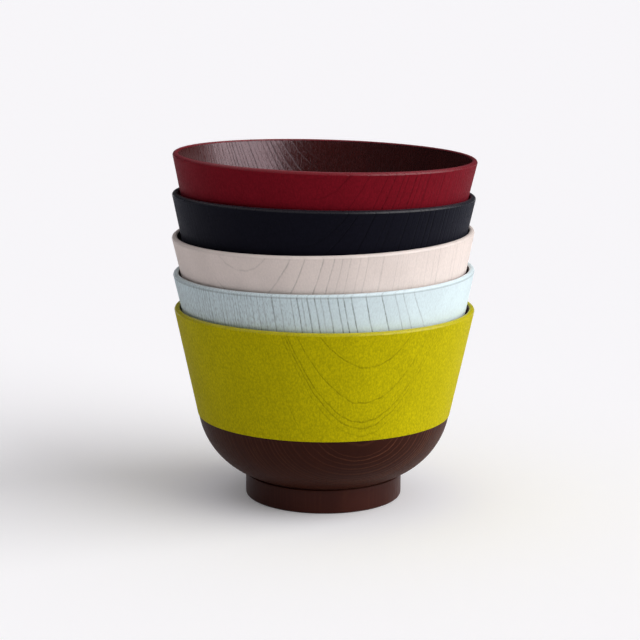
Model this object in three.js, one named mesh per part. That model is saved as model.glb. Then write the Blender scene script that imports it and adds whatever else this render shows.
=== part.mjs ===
// A nested stack of five turned wooden soup bowls, each with a coloured coat on its upper wall.
// Millimetres, +Z up. The origin is the middle of the bottom bowl's foot, on the table.
import * as THREE from 'three';

const { degToRad } = THREE.MathUtils;

// Wooden body of one bowl
const rimRadius = 57.5; // where the straight wall would meet the top of the lip
const bowlHeight = 74.3;
const wallFlare = degToRad(12.1); // the straight wall's lean away from the vertical
const wallThickness = 1.7;
const lipOuterRound = 1.1;
const lipInnerRound = 0.5;
const lipEdge = degToRad(12); // upward slope of the lip's round at the fine edge where it leaves the wall
const bellyRadius = 30; // round underside, in profile
const floorRadius = 64; // ball that the inner floor is part of
const floorSink = 2.9; // the floor's middle, below the top of the foot
const floorThickness = 3.65; // between the floor's middle and the hollow under the foot

// Foot ring, turned in one piece with the body
const footRadius = 30.3;
const footHeight = 9.75; // where the belly, carried down, would meet the foot's side
const footRingWidth = 5.5;
const footOuterRound = 1.0;
const footInnerRound = 0.6;
const footTopRound = 0.3;
const neckDepth = 0.8; // groove between belly and foot, behind the foot's side
const neckHeight = 0.25; // groove's upright back

// Coloured coat, laid over the straight wall and the lip
const coatRise = 1.6; // its lower edge, above the end of the round belly
const coatThickness = 0.15;
const coatGap = 0.05;

// Nesting: each bowl stands on the floor of the one beneath
const seatGap = 0.35;
const seatMargin = 2.5; // how far the ball-shaped floor runs past the foot that stands on it
const wallClearance = 0.25; // least gap that a leaning bowl leaves to the wall around it

// Facets
const turnSegments = 32;
const roundSteps = 2;
const edgeSteps = 1;
const kneeSteps = 4;
const floorSteps = 4;

// The bowls from the bottom up, leaning by a share of the play that the walls leave them
const bowls = [
  { name: 'green_bowl', colour: 0xb6b212, leanRight: 0, leanForward: 0 },
  { name: 'blue_bowl', colour: 0xc4d8dc, leanRight: -0.42, leanForward: 0.25 },
  { name: 'cream_bowl', colour: 0xecd4c6, leanRight: -0.12, leanForward: 0.26 },
  { name: 'black_bowl', colour: 0x1c1c23, leanRight: 0.77, leanForward: -0.58 },
  { name: 'red_bowl', colour: 0x8c1f2d, leanRight: 0.26, leanForward: 0.4 },
];
const woodColour = 0x4a2a20;

// Straight wall, as lines in the plane of radius and height
const sinFlare = Math.sin(wallFlare);
const cosFlare = Math.cos(wallFlare);
const tanFlare = Math.tan(wallFlare);
const outerRadiusAt = (height) => rimRadius - (bowlHeight - height) * tanFlare;
const innerRadiusAt = (height) => outerRadiusAt(height) - wallThickness / cosFlare;

// Belly arc: tangent to the straight wall, towards the top of the foot's side, and ending in the groove
const bellyCentre = findBellyCentre();
const bellyTop = bellyCentre.y - bellyRadius * sinFlare;
const neckRadius = footRadius - neckDepth;
const neckAngle = -Math.acos((neckRadius - bellyCentre.x) / bellyRadius);
const footTop = bellyCentre.y + bellyRadius * Math.sin(neckAngle) - neckHeight;

// Lip rounds
const lipStart = bowlHeight - lipOuterRound * (1 - Math.sin(lipEdge));
const lipOuterCentre = new THREE.Vector2(
  outerRadiusAt(lipStart) - lipOuterRound * Math.cos(lipEdge),
  bowlHeight - lipOuterRound,
);
const lipInnerHeight = bowlHeight - lipInnerRound;
const lipInnerCentre = new THREE.Vector2(
  innerRadiusAt(lipInnerHeight) + lipInnerRound / cosFlare,
  lipInnerHeight,
);

// Inside: a ball-shaped floor, and a knee arc tangent to the floor's edge and to the straight wall
const floorHeight = footHeight - floorSink;
const floorCentre = new THREE.Vector2(0, floorHeight + floorRadius);
const floorEdgeAngle = Math.asin((footRadius + seatMargin) / floorRadius);
const floorEdge = new THREE.Vector2(
  footRadius + seatMargin,
  floorCentre.y - floorRadius * Math.cos(floorEdgeAngle),
);
const kneeTurn = Math.PI / 2 - floorEdgeAngle - wallFlare;
const kneeTangent = (innerRadiusAt(floorEdge.y) - floorEdge.x)
  / (Math.cos(floorEdgeAngle) - Math.sin(floorEdgeAngle) * tanFlare);
const kneeRadius = kneeTangent / Math.tan(kneeTurn / 2);
const kneeCentre = new THREE.Vector2(
  floorEdge.x - kneeRadius * Math.sin(floorEdgeAngle),
  floorEdge.y + kneeRadius * Math.cos(floorEdgeAngle),
);

// Nesting: a bowl sinks until its foot meets the floor or its wall meets the wall around it
const coatLay = coatGap + coatThickness;
const ballToFoot = footOuterRound + Math.sqrt(
  (floorRadius - seatGap - footOuterRound) ** 2 - (footRadius - footOuterRound) ** 2,
);
const seatLift = floorCentre.y - ballToFoot;
const wedgeLift = (wallThickness + 2 * coatLay + wallClearance) / sinFlare;
const nestLift = Math.max(seatLift, wedgeLift);

// Lean: a bowl rocks about the centre of the floor's ball until the walls come within their clearance
const wallGap = nestLift * sinFlare - wallThickness - 2 * coatLay;
const closingAtLip = (bowlHeight - floorCentre.y) * cosFlare + rimRadius * sinFlare;
const closingAtBelly = (floorCentre.y - nestLift - bellyTop) * cosFlare - outerRadiusAt(bellyTop) * sinFlare;
const leanPlay = (wallGap - wallClearance) / Math.max(closingAtLip, closingAtBelly);

function findBellyCentre() {
  const along = new THREE.Vector2(sinFlare, cosFlare);
  const line = new THREE.Vector2(rimRadius - bellyRadius * cosFlare, bowlHeight + bellyRadius * sinFlare);
  const fromFoot = line.clone().sub(new THREE.Vector2(footRadius, footHeight));
  const half = fromFoot.dot(along);
  const rest = fromFoot.lengthSq() - bellyRadius ** 2;
  return line.addScaledVector(along, Math.sqrt(half ** 2 - rest) - half);
}

function arc(centre, radius, from, to, steps) {
  return Array.from({ length: steps + 1 }, (_, step) => {
    const angle = from + ((to - from) * step) / steps;
    return new THREE.Vector2(centre.x + radius * Math.cos(angle), centre.y + radius * Math.sin(angle));
  });
}

// The lip from the outside to the inside, at a given distance from the wood
function lipOutline(lay) {
  return [
    ...arc(lipOuterCentre, lipOuterRound + lay, lipEdge, Math.PI / 2, roundSteps),
    ...arc(lipInnerCentre, lipInnerRound + lay, Math.PI / 2, Math.PI - wallFlare, roundSteps),
  ];
}

// The straight wall's face at a given distance from the wood, from the coat's lower edge over the lip
function coatFace(lay) {
  const height = bellyTop + coatRise;
  return [new THREE.Vector2(outerRadiusAt(height) + lay / cosFlare, height), ...lipOutline(lay)];
}

function turn(outline) {
  return new THREE.LatheGeometry(outline, turnSegments).rotateX(Math.PI / 2);
}

function bodyGeometry() {
  const ringInside = footRadius - footRingWidth;
  const hollowHeight = floorHeight - floorThickness;
  const ringInnerEdge = new THREE.Vector2(ringInside + footInnerRound, footInnerRound);
  const ringOuterEdge = new THREE.Vector2(footRadius - footOuterRound, footOuterRound);
  const ringTopEdge = new THREE.Vector2(footRadius - footTopRound, footTop - footTopRound);
  return turn([
    new THREE.Vector2(0, hollowHeight),
    new THREE.Vector2(ringInside, hollowHeight),
    ...arc(ringInnerEdge, footInnerRound, Math.PI, 1.5 * Math.PI, edgeSteps),
    ...arc(ringOuterEdge, footOuterRound, -Math.PI / 2, 0, roundSteps),
    ...arc(ringTopEdge, footTopRound, 0, Math.PI / 2, edgeSteps),
    new THREE.Vector2(neckRadius, footTop),
    ...arc(bellyCentre, bellyRadius, neckAngle, -wallFlare, kneeSteps),
    ...lipOutline(0),
    ...arc(kneeCentre, kneeRadius, -wallFlare, floorEdgeAngle - Math.PI / 2, kneeSteps),
    ...arc(floorCentre, floorRadius, floorEdgeAngle - Math.PI / 2, -Math.PI / 2, floorSteps).slice(1, -1),
    new THREE.Vector2(0, floorHeight),
  ]);
}

function coatGeometry() {
  const outside = coatFace(coatLay);
  const inside = coatFace(coatGap).reverse();
  return turn([...outside, ...inside, outside[0]]);
}

function makeBowl({ name, colour }) {
  const wood = new THREE.MeshStandardMaterial({ color: woodColour, roughness: 0.5, metalness: 0 });
  const coat = new THREE.MeshStandardMaterial({ color: colour, roughness: 0.7, metalness: 0 });
  const bodyMesh = new THREE.Mesh(bodyGeometry(), wood);
  const coatMesh = new THREE.Mesh(coatGeometry(), coat);
  bodyMesh.name = `${name}_body`;
  coatMesh.name = `${name}_coat`;
  const bowl = new THREE.Group();
  bowl.add(bodyMesh, coatMesh);
  return bowl;
}

// Seat one bowl in the bowl beneath, turned about the centre of that bowl's floor
function nest(bowl, { leanRight, leanForward }) {
  const seat = new THREE.Group();
  seat.position.z = floorCentre.y;
  seat.rotation.set(leanForward * leanPlay, leanRight * leanPlay, 0);
  bowl.position.z = nestLift - floorCentre.y;
  seat.add(bowl);
  return seat;
}

const stack = new THREE.Group();
let beneath = stack;
for (const spec of bowls) {
  const bowl = makeBowl(spec);
  beneath.add(beneath === stack ? bowl : nest(bowl, spec));
  beneath = bowl;
}

export default stack;
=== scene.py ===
"""Looks of a nested stack of five turned wooden soup bowls with coloured coats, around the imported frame."""
import math

import bpy
import numpy as np
from mathutils import Matrix, Vector


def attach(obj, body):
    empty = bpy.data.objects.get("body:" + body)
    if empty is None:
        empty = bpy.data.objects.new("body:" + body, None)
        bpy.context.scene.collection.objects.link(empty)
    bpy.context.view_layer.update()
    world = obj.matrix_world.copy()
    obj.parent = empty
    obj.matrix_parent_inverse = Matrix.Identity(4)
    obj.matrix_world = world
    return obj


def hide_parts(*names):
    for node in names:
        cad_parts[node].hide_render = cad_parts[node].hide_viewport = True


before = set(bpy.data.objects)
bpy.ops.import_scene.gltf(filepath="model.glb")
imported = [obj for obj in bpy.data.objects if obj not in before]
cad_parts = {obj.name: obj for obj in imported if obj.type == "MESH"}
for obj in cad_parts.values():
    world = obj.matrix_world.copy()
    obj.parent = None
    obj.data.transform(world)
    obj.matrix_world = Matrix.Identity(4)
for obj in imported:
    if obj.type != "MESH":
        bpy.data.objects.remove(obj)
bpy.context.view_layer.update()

MM = 0.001

# Camera, fitted to the rims and the foot in the photograph: place in millimetres, turn in degrees
CAMERA_PLACE = (-1.66, -650.0, 193.4)
CAMERA_DOWN = 10.88
CAMERA_ROLL = 0.33
CAMERA_FOCAL_PIXELS = 1718.0
IMAGE_PIXELS = 640
SENSOR = 36.0

# One bowl, in millimetres, with the sizes of the CAD bowl
RIM_RADIUS = 57.5  # where the straight wall would meet the top of the lip
BOWL_HEIGHT = 74.3
WALL_FLARE = math.radians(12.1)
WALL_THICKNESS = 1.7
LIP_OUTER_ROUND = 1.1
LIP_INNER_ROUND = 0.5
LIP_EDGE = math.radians(12)  # upward slope of the lip's round at the fine edge where it leaves the wall
BELLY_RADIUS = 30.0
FLOOR_RADIUS = 64.0  # ball that the inner floor is part of
FLOOR_SINK = 2.9  # the floor's middle, below the top of the foot
FLOOR_THICKNESS = 3.65
FOOT_RADIUS = 30.3
FOOT_HEIGHT = 9.75  # where the belly, carried down, would meet the foot's side
FOOT_RING_WIDTH = 5.5
FOOT_OUTER_ROUND = 1.0
FOOT_INNER_ROUND = 0.6
FOOT_TOP_ROUND = 0.3
NECK_DEPTH = 0.8  # groove between belly and foot, behind the foot's side
NECK_HEIGHT = 0.25
HOLLOW_ROUND = 1.5  # in the corner of the hollow under the foot
COAT_RISE = 1.6  # the coat's lower edge, above the end of the round belly
COAT_THICKNESS = 0.15
COAT_GAP = 0.05
COAT_EDGE_ROUND = 0.07
SEAT_MARGIN = 2.5  # how far the ball-shaped floor runs past the foot that stands on it

# Fineness of the turned meshes
TURN_SEGMENTS = 256
LONG_STEP = 1.6
ROUND_STEPS = 6
SHARP_ANGLE = math.radians(20)

# Digits that count in a CAD corner's place, in metres
PLACE_DIGITS = 7

# Bowls from the bottom up, lengths in millimetres.
# Paint: the coat's colour, the colour of its haze, and how far ring lines, pores, the uneven skin and the
# thin edge under the lip darken it.
# Tree: the turn to the rings that face the wall squarely, in degrees from the front to the right; the
# pith's reach from the axis that way, behind the bowl where negative; the distances from the axis of the
# rings that the photograph shows plainly and faintly; the width and strength of the usual rings elsewhere;
# where the lines grow faint sideways of that turn, as from, to and the least strength; and how much stronger
# the usual rings are on the back, which the photograph doesn't show
BOWLS = {
    "green": dict(
        coat=(0.65, 0.56, 0.002), haze=(1.0, 0.93, 0.25), line=0.5, pore=0.2, skin=0.4, thin=0.0,
        turn=16, reach=-770, plain=(55.0, 52.1, 50.5, 50.0), faint=(49.4, 45.2),
        usual=(2.0, 0.25), fade=(4, 30, 0.4), back=3.2, seed=1.0,
    ),
    "blue": dict(
        coat=(0.80, 0.94, 0.98), haze=(0.85, 0.95, 1.0), line=0.8, pore=0.3, skin=0.1, thin=0.35,
        turn=63, reach=-370, plain=(44.4, 40.6, 36.9, 34.8, 33.1, 30.5, 26.6, 24.3, 21.1, 12.4),
        faint=(51.2, 49.0, 47.3, 28.4, 22.6, 19.0, 15.2, 9.1, 6.8, 4.5),
        usual=(1.3, 0.5), fade=(-28, -5, 0.45), back=1.2, seed=5.0,
    ),
    "cream": dict(
        coat=(0.94, 0.82, 0.76), haze=(1.0, 0.94, 0.91), line=0.36, pore=0.06, skin=0.08, thin=0.06,
        turn=-31, reach=323, plain=(53.7, 51.3, 47.7, 45.3), faint=(56.3, 43.2, 41.1, 38.4, 36.0),
        usual=(2.9, 0.5), fade=(-9, -15, 0.0), back=1.6, seed=9.0,
    ),
    "black": dict(
        coat=(0.0055, 0.0052, 0.0105), haze=(0.72, 0.78, 1.0), line=0.85, pore=0.45, skin=0.3, thin=0.0,
        turn=-8, reach=400, plain=(), faint=(), usual=(1.9, 1.0), fade=(16, -8, 0.25), back=1.0, seed=13.0,
    ),
    "red": dict(
        coat=(0.215, 0.0065, 0.015), haze=(1.0, 0.3, 0.4), line=0.5, pore=0.55, skin=0.3, thin=0.0,
        turn=-5, reach=400, plain=(), faint=(), usual=(1.7, 1.0), fade=(18, -6, 0.12), back=1.0, seed=17.0,
    ),
}

# Noise: its middle, and the levels between which a mark grows from nothing to full strength
NOISE_MIDDLE = 0.5
NOISE_RANGE = (0.3, 0.7)

# Coat: on the wall and, rubbed smoother, on the lip, with the strength of its lines and its least and
# most roughness. Scales are in cycles for each millimetre along X, Y and Z
COATS = {
    "wall": dict(line=1.0, specular=0.02, roughness=(0.52, 0.66)),
    "lip": dict(line=0.3, specular=0.3, roughness=(0.26, 0.36)),
}
COAT_DEEP = 0.2  # the colour in the grooves, as a share of the coat's
COAT_CLOUD = 0.07  # how far broad clouds darken it
COAT_CLOUD_SCALE = (0.09, 0.09, 0.05)
COAT_SKIN_SCALE = (1.7, 1.7, 1.0)
COAT_SHEEN = 0.08
COAT_SHEEN_ROUGHNESS = 0.5
COAT_RELIEF = 0.15  # depth of the ring lines, in millimetres
COAT_RELIEF_STRENGTH = 0.7
COAT_PORE_RELIEF = 0.35  # depth of pores, as a share of the ring lines' depth
COAT_SKIN_RELIEF = 2.0  # height of the uneven skin, as such a share, for each unit that it darkens the coat
THIN_FULL = 0.135  # the thin edge under the lip is at full strength this far from its middle
THIN_NONE = 0.54  # and has faded out this far from it

# Wood: on the foot, outside and inside, with base, ring and pore colours, the strength of its grain, its
# gloss, how far the rings dull it, the depth of its relief in millimetres, and where its lines grow faint
WOOD_RINGS = (1.0, 1.0)  # width and strength
WOOD_CLOUD = 0.3  # how far broad clouds darken it
WOOD_CLOUD_RANGE = (0.35, 0.7)
WOOD_CLOUD_SCALE = (0.06, 0.06, 0.03)
WOOD_RUB = 0.1  # how far its roughness varies
WOOD_RUB_SCALE = (1.2, 1.2, 0.3)
WOOD_PORES = 0.45  # how far pores and ring lines take on their own colours
WOOD_LINES = 0.85
WOOD_PORE_RELIEF = 0.5  # depth of pores, as a share of the ring lines' depth
WOODS = {
    "foot": dict(
        colour=(0.054, 0.0135, 0.0085, 1), ring=(0.105, 0.033, 0.017, 1), pore=(0.020, 0.0052, 0.0038, 1),
        grain=0.25, specular=0.1, gloss=(1, 0.95, 1, 1), roughness=0.36, dull=0.2, depth=0.02,
        fade=None,
    ),
    "outside": dict(
        colour=(0.040, 0.0100, 0.0056, 1), ring=(0.15, 0.053, 0.027, 1), pore=(0.018, 0.0046, 0.0032, 1),
        grain=1.0, specular=0.06, gloss=(1, 1, 1, 1), roughness=0.42, dull=0.2, depth=0.05,
        fade=(16, -20, 0.3),
    ),
    "inside": dict(
        colour=(0.070, 0.0105, 0.0088, 1), ring=(0.016, 0.0030, 0.0024, 1), pore=(0.022, 0.0042, 0.0034, 1),
        grain=1.0, specular=0.9, gloss=(1, 0.82, 0.9, 1), roughness=0.2, dull=0.35, depth=0.04,
        fade=(-18, -2, 0.1),
    ),
}

SIN = math.sin(WALL_FLARE)
COS = math.cos(WALL_FLARE)
TAN = math.tan(WALL_FLARE)


# Profile of a bowl, as points of radius and height

def outer_radius(height):
    return RIM_RADIUS - (BOWL_HEIGHT - height) * TAN


def inner_radius(height):
    return outer_radius(height) - WALL_THICKNESS / COS


def arc(centre, radius, start, end, steps):
    angles = np.linspace(start, end, steps + 1)
    return [(centre[0] + radius * math.cos(a), centre[1] + radius * math.sin(a)) for a in angles]


def long_arc(centre, radius, start, end):
    return arc(centre, radius, start, end, math.ceil(abs(end - start) * radius / LONG_STEP))


def line(start, end):
    """Points between two ends, without the ends."""
    steps = math.ceil(math.dist(start, end) / LONG_STEP)
    return [tuple(np.add(start, np.subtract(end, start) * i / steps)) for i in range(1, steps)]


def belly_centre():
    """The arc's middle: tangent to the straight wall, and towards the top of the foot's side."""
    along = np.array((SIN, COS))
    base = np.array((RIM_RADIUS - BELLY_RADIUS * COS, BOWL_HEIGHT + BELLY_RADIUS * SIN))
    from_foot = base - (FOOT_RADIUS, FOOT_HEIGHT)
    half = from_foot @ along
    return base + along * (math.sqrt(half ** 2 - from_foot @ from_foot + BELLY_RADIUS ** 2) - half)


BELLY = belly_centre()
BELLY_TOP = BELLY[1] - BELLY_RADIUS * SIN
NECK_RADIUS = FOOT_RADIUS - NECK_DEPTH
NECK_ANGLE = -math.acos((NECK_RADIUS - BELLY[0]) / BELLY_RADIUS)
FOOT_TOP = BELLY[1] + BELLY_RADIUS * math.sin(NECK_ANGLE) - NECK_HEIGHT
LIP_START = BOWL_HEIGHT - LIP_OUTER_ROUND * (1 - math.sin(LIP_EDGE))


def lip(lay):
    """The lip from outside to inside, at a distance from the wood. A fine edge parts it from the wall."""
    outer_height = BOWL_HEIGHT - LIP_OUTER_ROUND
    outer = (outer_radius(LIP_START) - LIP_OUTER_ROUND * math.cos(LIP_EDGE), outer_height)
    inner_height = BOWL_HEIGHT - LIP_INNER_ROUND
    inner = (inner_radius(inner_height) + LIP_INNER_ROUND / COS, inner_height)
    return [
        *arc(outer, LIP_OUTER_ROUND + lay, LIP_EDGE, math.pi / 2, ROUND_STEPS),
        *arc(inner, LIP_INNER_ROUND + lay, math.pi / 2, math.pi - WALL_FLARE, ROUND_STEPS),
    ]


def foot_profile():
    """The wood from the middle of the underside, round the foot ring and into the groove above it."""
    ring_inside = FOOT_RADIUS - FOOT_RING_WIDTH
    hollow = FOOT_HEIGHT - FLOOR_SINK - FLOOR_THICKNESS
    hollow_corner = (ring_inside - HOLLOW_ROUND, hollow - HOLLOW_ROUND)
    ring_inner = (ring_inside + FOOT_INNER_ROUND, FOOT_INNER_ROUND)
    ring_outer = (FOOT_RADIUS - FOOT_OUTER_ROUND, FOOT_OUTER_ROUND)
    ring_top = (FOOT_RADIUS - FOOT_TOP_ROUND, FOOT_TOP - FOOT_TOP_ROUND)
    underside = [(0.0, hollow), *line((0.0, hollow), (hollow_corner[0], hollow))]
    ring = [
        *arc(hollow_corner, HOLLOW_ROUND, math.pi / 2, 0, ROUND_STEPS),
        *arc(ring_inner, FOOT_INNER_ROUND, math.pi, 1.5 * math.pi, ROUND_STEPS),
        *arc(ring_outer, FOOT_OUTER_ROUND, -math.pi / 2, 0, ROUND_STEPS),
    ]
    top = arc(ring_top, FOOT_TOP_ROUND, 0, math.pi / 2, ROUND_STEPS)
    return [*underside, *ring, *line(ring[-1], top[0]), *top, (NECK_RADIUS, FOOT_TOP)]


def outside_profile():
    """The wood from the groove above the foot, round the belly and up the wall to the top of the lip."""
    belly = long_arc(BELLY, BELLY_RADIUS, NECK_ANGLE, -WALL_FLARE)
    over = lip(0.0)[:-1]
    return [*belly, *line(belly[-1], over[0]), *over]


def inside_profile():
    """The wood from the lip's inner edge down the wall, round the knee and over the ball-shaped floor."""
    floor_height = FOOT_HEIGHT - FLOOR_SINK
    floor_centre = (0.0, floor_height + FLOOR_RADIUS)
    edge_radius = FOOT_RADIUS + SEAT_MARGIN
    edge_angle = math.asin(edge_radius / FLOOR_RADIUS)
    edge_sin, edge_cos = math.sin(edge_angle), math.cos(edge_angle)
    edge_height = floor_centre[1] - FLOOR_RADIUS * edge_cos
    tangent = (inner_radius(edge_height) - edge_radius) / (edge_cos - edge_sin * TAN)
    knee_radius = tangent / math.tan((math.pi / 2 - edge_angle - WALL_FLARE) / 2)
    knee = (edge_radius - knee_radius * edge_sin, edge_height + knee_radius * edge_cos)
    knee_arc = long_arc(knee, knee_radius, -WALL_FLARE, edge_angle - math.pi / 2)
    floor = long_arc(floor_centre, FLOOR_RADIUS, edge_angle - math.pi / 2, -math.pi / 2)[1:-1]
    lip_end = lip(0.0)[-1]
    return [lip_end, *line(lip_end, knee_arc[0]), *knee_arc, *floor, (0.0, floor_height)]


def coat_profile():
    """The coat's closed outline in two parts: up the wall, then over the lip and back down the wood."""
    height = BELLY_TOP + COAT_RISE

    def at(lay, rise):
        return (outer_radius(height + rise) + lay / COS, height + rise)

    outside, inside = COAT_GAP + COAT_THICKNESS, COAT_GAP
    edge = [at(inside, 0.0), at(outside - COAT_EDGE_ROUND, 0.0), at(outside, COAT_EDGE_ROUND)]
    over = lip(outside)
    under = lip(inside)[::-1]
    return [*edge, *line(edge[-1], over[0])], [*over, *under]


# Turned meshes

def turned_mesh(name, parts, closed=False):
    """A mesh of revolution about Z, with its map laid out by turn and by length.

    Its profile, in millimetres, comes in parts, each with a material of its own.
    """
    profile = np.array([point for part in parts for point in part]) * MM
    loop = np.vstack([profile, profile[:1]]) if closed else profile
    length = np.concatenate([[0], np.cumsum(np.linalg.norm(np.diff(loop, axis=0), axis=1))])
    length /= length[-1]
    turns = np.linspace(0, 2 * math.pi, TURN_SEGMENTS, endpoint=False)
    ring_start, verts = [], []
    for radius, height in profile:
        ring_start.append(len(verts))
        if radius == 0:
            verts.append((0.0, 0.0, height))
        else:
            verts.extend((radius * math.cos(a), radius * math.sin(a), height) for a in turns)

    def corner(row, column):
        row %= len(profile)
        return ring_start[row] + (0 if profile[row][0] == 0 else column % TURN_SEGMENTS)

    faces, maps = [], []
    for row in range(len(loop) - 1):
        for column in range(TURN_SEGMENTS):
            face, places = [], []
            for r, c in ((row, column), (row, column + 1), (row + 1, column + 1), (row + 1, column)):
                vertex = corner(r, c)
                if vertex not in face:
                    face.append(vertex)
                    places.append((c / TURN_SEGMENTS, length[r]))
            faces.append(face)
            maps.extend(places)
    mesh = bpy.data.meshes.new(name)
    mesh.from_pydata(verts, [], faces)
    mesh.uv_layers.new(name="OFBake").uv.foreach_set("vector", np.array(maps, np.float32).ravel())
    part_of_row = np.repeat(np.arange(len(parts), dtype=np.int32), [len(part) for part in parts])
    mesh.polygons.foreach_set("material_index", np.repeat(part_of_row[:len(loop) - 1], TURN_SEGMENTS))
    mesh.shade_smooth()
    mesh.set_sharp_from_angle(angle=SHARP_ANGLE)
    return mesh


def node_points(node):
    """The separate corners of a CAD node, with those that differ only by rounding taken as one."""
    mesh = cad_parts[node].data
    points = np.empty(len(mesh.vertices) * 3)
    mesh.vertices.foreach_get("co", points)
    return np.unique(points.reshape(-1, 3).round(PLACE_DIGITS), axis=0)


def bowl_place(bowl):
    """Where a bowl stands: the coat, a flat band, gives its turning axis, and the body gives its foot."""
    band = node_points(f"{bowl}_coat")
    middle = band.mean(axis=0)
    _, directions = np.linalg.eigh(np.cov((band - middle).T))
    axis = directions[:, 0] * np.sign(directions[2, 0])
    drop = ((node_points(f"{bowl}_body") - middle) @ axis).min()
    turn = Vector((0, 0, 1)).rotation_difference(Vector(axis))
    return Matrix.Translation(middle + axis * drop) @ turn.to_matrix().to_4x4()


# Shader nodes

class Nodes:
    """Adds nodes to a shader tree, each input fed by a value or by another node's output."""

    def __init__(self, tree):
        self.tree = tree

    def feed(self, socket, value):
        if isinstance(value, bpy.types.NodeSocket):
            self.tree.links.new(value, socket)
        else:
            socket.default_value = value

    def add(self, kind, inputs=None, **settings):
        node = self.tree.nodes.new(kind)
        for key, value in settings.items():
            setattr(node, key, value)
        for key, value in (inputs or {}).items():
            self.feed(node.inputs[key], value)
        return node

    def math(self, operation, *values):
        return self.add("ShaderNodeMath", dict(enumerate(values)), operation=operation).outputs[0]

    def vector(self, operation, *values, output="Vector"):
        node = self.add("ShaderNodeVectorMath", dict(enumerate(values)), operation=operation)
        return node.outputs[output]

    def ramp(self, value, low, high, start=0.0, end=1.0):
        inputs = {"Value": value, "From Min": low, "From Max": high, "To Min": start, "To Max": end}
        return self.add("ShaderNodeMapRange", inputs, interpolation_type="SMOOTHSTEP").outputs["Result"]

    def noise(self, vector, detail=2.0, roughness=0.5):
        inputs = {"Vector": vector, "Scale": 1.0, "Detail": detail, "Roughness": roughness}
        return self.add("ShaderNodeTexNoise", inputs).outputs[0]

    def fine_noise(self, vector):
        return self.noise(vector, detail=3.0, roughness=0.6)

    def noise_along(self, value, detail=1.0):
        inputs = {"W": value, "Scale": 1.0, "Detail": detail}
        return self.add("ShaderNodeTexNoise", inputs, noise_dimensions="1D").outputs[0]

    def bump(self, height, strength, depth):
        """Relief of a depth in millimetres."""
        inputs = {"Height": height, "Strength": strength, "Distance": depth * MM}
        return self.add("ShaderNodeBump", inputs).outputs[0]

    def mix(self, share, first, second):
        node = self.add("ShaderNodeMix", data_type="RGBA")
        colours = [socket for socket in node.inputs if socket.type == "RGBA"]
        self.feed(node.inputs["Factor"], share)
        self.feed(colours[0], first)
        self.feed(colours[1], second)
        return next(socket for socket in node.outputs if socket.type == "RGBA")


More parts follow.
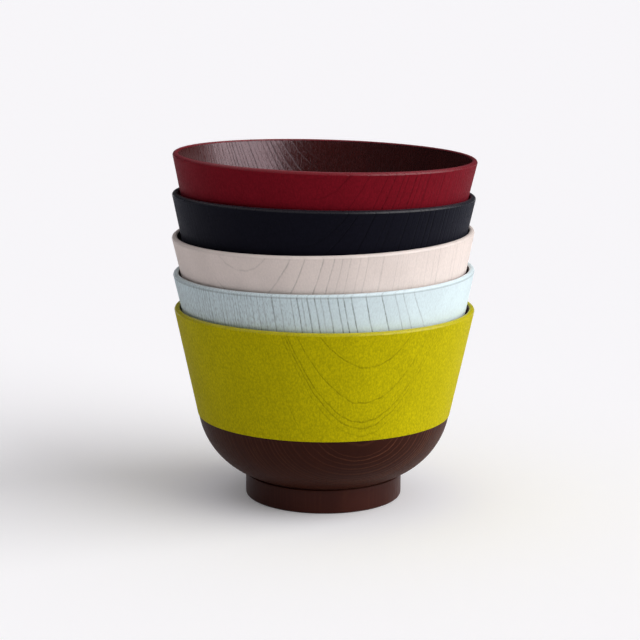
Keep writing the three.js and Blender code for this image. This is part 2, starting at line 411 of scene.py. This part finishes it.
class Grain:
    """Growth rings cut by a bowl, in its own millimetres, as the strengths of ring lines and of pores."""

    LINE_HALF_WIDTH = 0.42
    FAINT = 0.5  # strength of the rings that the photograph shows faintly
    BACK = (5.0, 25.0)  # how far behind the axis the back's lines start and reach full strength
    LEAST_CUT = 0.3  # where the surface lies nearly along a ring, its line is widened no further than this

    # Usual rings: how far they stray, in ring widths, and how fast that changes; how the noise for their
    # strengths steps from ring to ring, the levels that it is read between, and the least strength; and
    # where they start and are at full strength, inside the last ring that the photograph shows
    STRAY = 1.4
    STRAY_RATE = 0.5
    STRENGTH_STEP = 7.3
    STRENGTH_LEVELS = (0.3, 0.65)
    STRENGTH_LEAST = 0.3
    CLEARANCE = (0.5, 1.0)

    # Pores: at full strength up to the first ring distance, and at the least strength from the second on
    PORE_RINGS = (5.0, 35.0)
    PORE_LEAST = 0.25

    # Bends of the rings, and marks along the trunk: their sizes across and along it, the shift that keeps
    # their noises apart, how far a bend goes, and the noise levels between which a mark grows from its least
    # to full strength
    BENDS = {
        "wobble": dict(across=30.0, along=70.0, shift=0.0, reach=1.0),
        "ripple": dict(across=3.0, along=7.0, shift=3.1, reach=0.3),
    }
    MARKS = {
        "patch": dict(across=2.2, along=14.0, shift=5.7, detail=2.0, levels=(0.35, 0.6), least=0.55),
        "vessel": dict(across=0.5, along=1.6, shift=1.9, detail=1.0, levels=(0.3, 0.6), least=0.6),
        "pore": dict(across=0.3, along=9.0, shift=8.3, detail=0.0, levels=(0.45, 0.75), least=0.0),
    }

    def __init__(self, nodes, spec):
        self.nodes = nodes
        self.spec = spec
        place = nodes.add("ShaderNodeTexCoord").outputs["Object"]
        self.place = nodes.vector("MULTIPLY", place, (1 / MM,) * 3)
        self.find_rings()
        usual = self.usual_lines()
        lines = usual
        if spec["plain"]:
            lines = nodes.math("MAXIMUM", lines, self.seen_lines())
        if spec["fade"]:
            start, end, least = spec["fade"]
            lines = nodes.math("MULTIPLY", lines, nodes.ramp(self.sideways, start, end, 1.0, least))
        if spec["back"]:
            rearward = nodes.add("ShaderNodeSeparateXYZ", {0: self.place}).outputs["Y"]
            behind = nodes.ramp(rearward, *self.BACK, 0.0, spec["back"])
            lines = nodes.math("MAXIMUM", lines, nodes.math("MULTIPLY", usual, behind))
        self.lines = nodes.math("MULTIPLY", lines, self.marks("vessel"))
        outward = nodes.ramp(self.ring, *self.PORE_RINGS, 1.0, self.PORE_LEAST)
        self.pores = nodes.math("MULTIPLY", self.marks("pore"), outward)

    def stretched(self, size):
        """The place for a noise whose marks are longer along the trunk than across it."""
        seed, shift = self.spec["seed"], size["shift"]
        scale = (1 / size["across"], 1 / size["across"], 1 / size["along"])
        scaled = self.nodes.vector("MULTIPLY", self.place, scale)
        return self.nodes.vector("ADD", scaled, (seed + shift, seed - shift, shift))

    def marks(self, name):
        """The strength of one kind of mark."""
        kind = self.MARKS[name]
        noise = self.nodes.noise(self.stretched(kind), kind["detail"])
        return self.nodes.ramp(noise, *kind["levels"], kind["least"], 1.0)

    def find_rings(self):
        """The ring that a point lies on, as its distance from the axis.

        Also how squarely the surface cuts that ring, and how far the point lies sideways.
        """
        nodes, spec = self.nodes, self.spec
        turn = math.radians(spec["turn"])
        pith = (spec["reach"] * math.sin(turn), -spec["reach"] * math.cos(turn), 0.0)
        outward = nodes.vector("MULTIPLY", nodes.vector("SUBTRACT", self.place, pith), (1.0, 1.0, 0.0))
        depth = nodes.vector("LENGTH", outward, output="Value")
        for bend in self.BENDS.values():
            sway = nodes.math("SUBTRACT", nodes.noise(self.stretched(bend)), NOISE_MIDDLE)
            depth = nodes.math("MULTIPLY_ADD", sway, bend["reach"], depth)
        side = math.copysign(1.0, spec["reach"])
        self.ring = nodes.math("MULTIPLY_ADD", depth, -side, spec["reach"])
        across = (math.cos(turn), math.sin(turn), 0.0)
        self.sideways = nodes.vector("DOT_PRODUCT", self.place, across, output="Value")
        normal = nodes.add("ShaderNodeNewGeometry").outputs["Normal"]
        facing = nodes.vector("DOT_PRODUCT", nodes.vector("NORMALIZE", outward), normal, output="Value")
        square = nodes.math("SUBTRACT", 1.0, nodes.math("MULTIPLY", facing, facing))
        self.cut = nodes.math("MAXIMUM", nodes.math("SQRT", square), self.LEAST_CUT)

    def line_at(self, off):
        """A line where the distance to a ring is nought, as wide on the surface whatever its slant."""
        return self.nodes.ramp(self.nodes.math("DIVIDE", off, self.cut), 0.0, self.LINE_HALF_WIDTH, 1.0, 0.0)

    def usual_lines(self):
        """Lines at uneven steps, some strong and some faint, inside the rings that the photograph shows."""
        nodes, seed = self.nodes, self.spec["seed"]
        width, most = self.spec["usual"]
        stray = nodes.noise_along(nodes.math("MULTIPLY_ADD", self.ring, self.STRAY_RATE / width, seed))
        count = nodes.math("MULTIPLY_ADD", stray, self.STRAY, nodes.math("DIVIDE", self.ring, width))
        off = nodes.math("MULTIPLY", nodes.math("PINGPONG", count, 0.5), width)
        number = nodes.math("ROUND", count)
        strength = nodes.noise_along(nodes.math("MULTIPLY_ADD", number, self.STRENGTH_STEP, seed), 0.0)
        strength = nodes.ramp(strength, *self.STRENGTH_LEVELS, self.STRENGTH_LEAST * most, most)
        lines = nodes.math("MULTIPLY", self.line_at(off), strength)
        shown = [*self.spec["plain"], *self.spec["faint"]]
        if not shown:
            return lines
        start, full = [min(shown) - clear for clear in self.CLEARANCE]
        return nodes.math("MULTIPLY", lines, nodes.ramp(self.ring, start, full))

    def seen_lines(self):
        """Lines at the rings that the photograph shows, each a little stronger here and fainter there."""
        nodes = self.nodes
        lines = 0.0
        for rings, strength in ((self.spec["plain"], 1.0), (self.spec["faint"], self.FAINT)):
            nearest = self.LINE_HALF_WIDTH
            for ring in rings:
                off = nodes.math("ABSOLUTE", nodes.math("SUBTRACT", self.ring, ring))
                nearest = nodes.math("MINIMUM", nearest, off)
            lines = nodes.math("MAXIMUM", lines, nodes.math("MULTIPLY", self.line_at(nearest), strength))
        return nodes.math("MULTIPLY", lines, self.marks("patch"))


def new_material(name):
    material = bpy.data.materials.new(name)
    material.use_nodes = True
    return material, Nodes(material.node_tree), material.node_tree.nodes["Principled BSDF"]


def coat_material(name, spec, finish):
    """Matte paint over open grain: ring lines show as fine dark grooves, and it is thin at the lip."""
    material, nodes, shader = new_material(name)
    grain = Grain(nodes, spec)
    colour = (*spec["coat"], 1.0)
    deep = (*[COAT_DEEP * channel for channel in spec["coat"]], 1.0)
    cloud = nodes.noise(nodes.vector("MULTIPLY", grain.place, COAT_CLOUD_SCALE))
    skin = nodes.fine_noise(nodes.vector("MULTIPLY", grain.place, COAT_SKIN_SCALE))
    height = nodes.add("ShaderNodeSeparateXYZ", {0: grain.place}).outputs["Z"]
    from_edge = nodes.math("ABSOLUTE", nodes.math("SUBTRACT", height, LIP_START))
    thin = nodes.ramp(from_edge, THIN_FULL, THIN_NONE, spec["thin"], 0.0)
    tint = nodes.mix(nodes.ramp(cloud, *NOISE_RANGE, 0.0, COAT_CLOUD), colour, deep)
    tint = nodes.mix(nodes.ramp(skin, *NOISE_RANGE, 0.0, spec["skin"]), tint, deep)
    tint = nodes.mix(nodes.math("MULTIPLY", grain.pores, spec["pore"]), tint, deep)
    tint = nodes.mix(nodes.math("MULTIPLY", grain.lines, spec["line"] * finish["line"]), tint, deep)
    tint = nodes.mix(thin, tint, deep)
    nodes.feed(shader.inputs["Base Color"], tint)
    nodes.feed(shader.inputs["Roughness"], nodes.ramp(skin, *NOISE_RANGE, *finish["roughness"]))
    shader.inputs["Specular IOR Level"].default_value = finish["specular"]
    shader.inputs["Sheen Weight"].default_value = COAT_SHEEN
    shader.inputs["Sheen Roughness"].default_value = COAT_SHEEN_ROUGHNESS
    shader.inputs["Sheen Tint"].default_value = (*spec["haze"], 1.0)
    grooves = nodes.math("MULTIPLY_ADD", grain.pores, COAT_PORE_RELIEF, grain.lines)
    ridges = nodes.math("MULTIPLY", skin, COAT_SKIN_RELIEF * spec["skin"])
    relief = nodes.math("SUBTRACT", ridges, grooves)
    nodes.feed(shader.inputs["Normal"], nodes.bump(relief, COAT_RELIEF_STRENGTH, COAT_RELIEF))
    return material


def wood_material(name, spec, wood):
    """Dark stained wood under a satin finish, with fine rings and dark pores."""
    material, nodes, shader = new_material(name)
    rings = dict(plain=(), faint=(), usual=WOOD_RINGS, fade=wood["fade"], back=None)
    grain = Grain(nodes, {**spec, **rings})
    lines = nodes.math("MULTIPLY", grain.lines, wood["grain"])
    pores = nodes.math("MULTIPLY", grain.pores, wood["grain"])
    cloud = nodes.noise(nodes.vector("MULTIPLY", grain.place, WOOD_CLOUD_SCALE))
    tint = nodes.mix(nodes.ramp(cloud, *WOOD_CLOUD_RANGE, 0.0, WOOD_CLOUD), wood["colour"], wood["pore"])
    tint = nodes.mix(nodes.math("MULTIPLY", pores, WOOD_PORES), tint, wood["pore"])
    tint = nodes.mix(nodes.math("MULTIPLY", lines, WOOD_LINES), tint, wood["ring"])
    nodes.feed(shader.inputs["Base Color"], tint)
    rub = nodes.fine_noise(nodes.vector("MULTIPLY", grain.place, WOOD_RUB_SCALE))
    rough = nodes.ramp(rub, *NOISE_RANGE, wood["roughness"], wood["roughness"] + WOOD_RUB)
    rough = nodes.math("MULTIPLY_ADD", lines, wood["dull"], rough)
    nodes.feed(shader.inputs["Roughness"], rough)
    shader.inputs["Specular IOR Level"].default_value = wood["specular"]
    shader.inputs["Specular Tint"].default_value = wood["gloss"]
    grooves = nodes.math("MULTIPLY_ADD", pores, WOOD_PORE_RELIEF, lines)
    relief = nodes.math("MULTIPLY", grooves, -1.0)
    nodes.feed(shader.inputs["Normal"], nodes.bump(relief, 1.0, wood["depth"]))
    return material


# Bowls

def add_piece(name, mesh, materials, place, body, node):
    for material in materials:
        mesh.materials.append(material)
    piece = bpy.data.objects.new(name, mesh)
    bpy.context.scene.collection.objects.link(piece)
    piece.matrix_world = place
    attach(piece, body)
    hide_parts(node)


def make_bowl(colour, spec):
    bowl = f"{colour}_bowl"
    place = bowl_place(bowl)
    wood = turned_mesh(f"{bowl}_wood", [foot_profile(), outside_profile(), inside_profile()])
    coat = turned_mesh(f"{bowl}_paint", coat_profile(), closed=True)
    woods = [wood_material(f"{bowl}_{part}_wood", spec, finish) for part, finish in WOODS.items()]
    paints = [coat_material(f"{bowl}_{part}_paint", spec, finish) for part, finish in COATS.items()]
    add_piece(f"{bowl}_wood", wood, woods, place, bowl, f"{bowl}_body")
    add_piece(f"{bowl}_paint", coat, paints, place, bowl, f"{bowl}_coat")


# Stage: a white floor, a wide soft window light from the right, a soft light overhead in a dark room, and
# the camera. Turns are in degrees from the front to the right, and heights in degrees above the floor

FLOOR_COLOUR = (0.95, 0.95, 0.965, 1)
BOUNCE_COLOUR = (0.75, 0.75, 0.76, 1)
FLOOR_GLOW = 0.11
FLOOR_REACH = 120.0  # metres
SKY_COLOUR = (1, 0.97, 1, 1)
ROOM_STRENGTH = 0.02
OVERHEAD_STRENGTH = 0.64
OVERHEAD_START = math.sin(math.radians(24))
OVERHEAD_FULL = math.sin(math.radians(44))
WINDOW_TURN = 74
WINDOW_HEIGHT = 26
WINDOW_WIDTH = 68
WINDOW_STRENGTH = 2.95


def seen_directly(nodes):
    """One for rays from the camera, directly or by way of gloss or glass, and nought for scattered light."""
    path = nodes.add("ShaderNodeLightPath").outputs
    mirrored = nodes.math("MAXIMUM", path["Is Glossy Ray"], path["Is Transmission Ray"])
    return nodes.math("MAXIMUM", path["Is Camera Ray"], mirrored)


def make_floor():
    mesh = bpy.data.meshes.new("floor")
    corners = [(x * FLOOR_REACH, y * FLOOR_REACH, 0) for x, y in ((-1, -1), (1, -1), (1, 1), (-1, 1))]
    mesh.from_pydata(corners, [], [(0, 1, 2, 3)])
    material, nodes, shader = new_material("floor")
    seen = seen_directly(nodes)
    nodes.feed(shader.inputs["Base Color"], nodes.mix(seen, BOUNCE_COLOUR, FLOOR_COLOUR))
    nodes.feed(shader.inputs["Emission Strength"], nodes.math("MULTIPLY", seen, FLOOR_GLOW))
    shader.inputs["Emission Color"].default_value = (1, 1, 1, 1)
    shader.inputs["Roughness"].default_value = 1.0
    shader.inputs["Specular IOR Level"].default_value = 0.0
    mesh.materials.append(material)
    floor = bpy.data.objects.new("floor", mesh)
    bpy.context.scene.collection.objects.link(floor)


def make_sky():
    """A dark room with a wide soft light overhead."""
    world = bpy.data.worlds.new("studio")
    world.use_nodes = True
    nodes = Nodes(world.node_tree)
    sky = world.node_tree.nodes["Background"]
    direction = nodes.add("ShaderNodeTexCoord").outputs["Generated"]
    height = nodes.add("ShaderNodeSeparateXYZ", {0: direction}).outputs["Z"]
    strength = nodes.ramp(height, OVERHEAD_START, OVERHEAD_FULL, ROOM_STRENGTH, OVERHEAD_STRENGTH)
    nodes.feed(sky.inputs["Strength"], strength)
    sky.inputs["Color"].default_value = SKY_COLOUR
    bpy.context.scene.world = world


def make_window():
    lamp = bpy.data.lights.new("window", "SUN")
    lamp.angle = math.radians(WINDOW_WIDTH)
    lamp.energy = WINDOW_STRENGTH
    window = bpy.data.objects.new("window", lamp)
    bpy.context.scene.collection.objects.link(window)
    turn, height = math.radians(WINDOW_TURN), math.radians(WINDOW_HEIGHT)
    away = Vector((math.sin(turn) * math.cos(height), -math.cos(turn) * math.cos(height), math.sin(height)))
    window.rotation_mode = "QUATERNION"
    window.rotation_quaternion = away.to_track_quat("Z", "Y")


def make_camera():
    data = bpy.data.cameras.new("camera")
    data.sensor_width = SENSOR
    data.lens = CAMERA_FOCAL_PIXELS / IMAGE_PIXELS * SENSOR
    camera = bpy.data.objects.new("camera", data)
    bpy.context.scene.collection.objects.link(camera)
    tilt = Matrix.Rotation(math.radians(90 - CAMERA_DOWN), 4, "X")
    roll = Matrix.Rotation(math.radians(CAMERA_ROLL), 4, "Z")
    camera.matrix_world = Matrix.Translation(Vector(CAMERA_PLACE) * MM) @ tilt @ roll
    bpy.context.scene.camera = camera


make_camera()
for colour_name, bowl_spec in BOWLS.items():
    make_bowl(colour_name, bowl_spec)
make_floor()
make_sky()
make_window()
bpy.context.scene.view_settings.view_transform = "Standard"
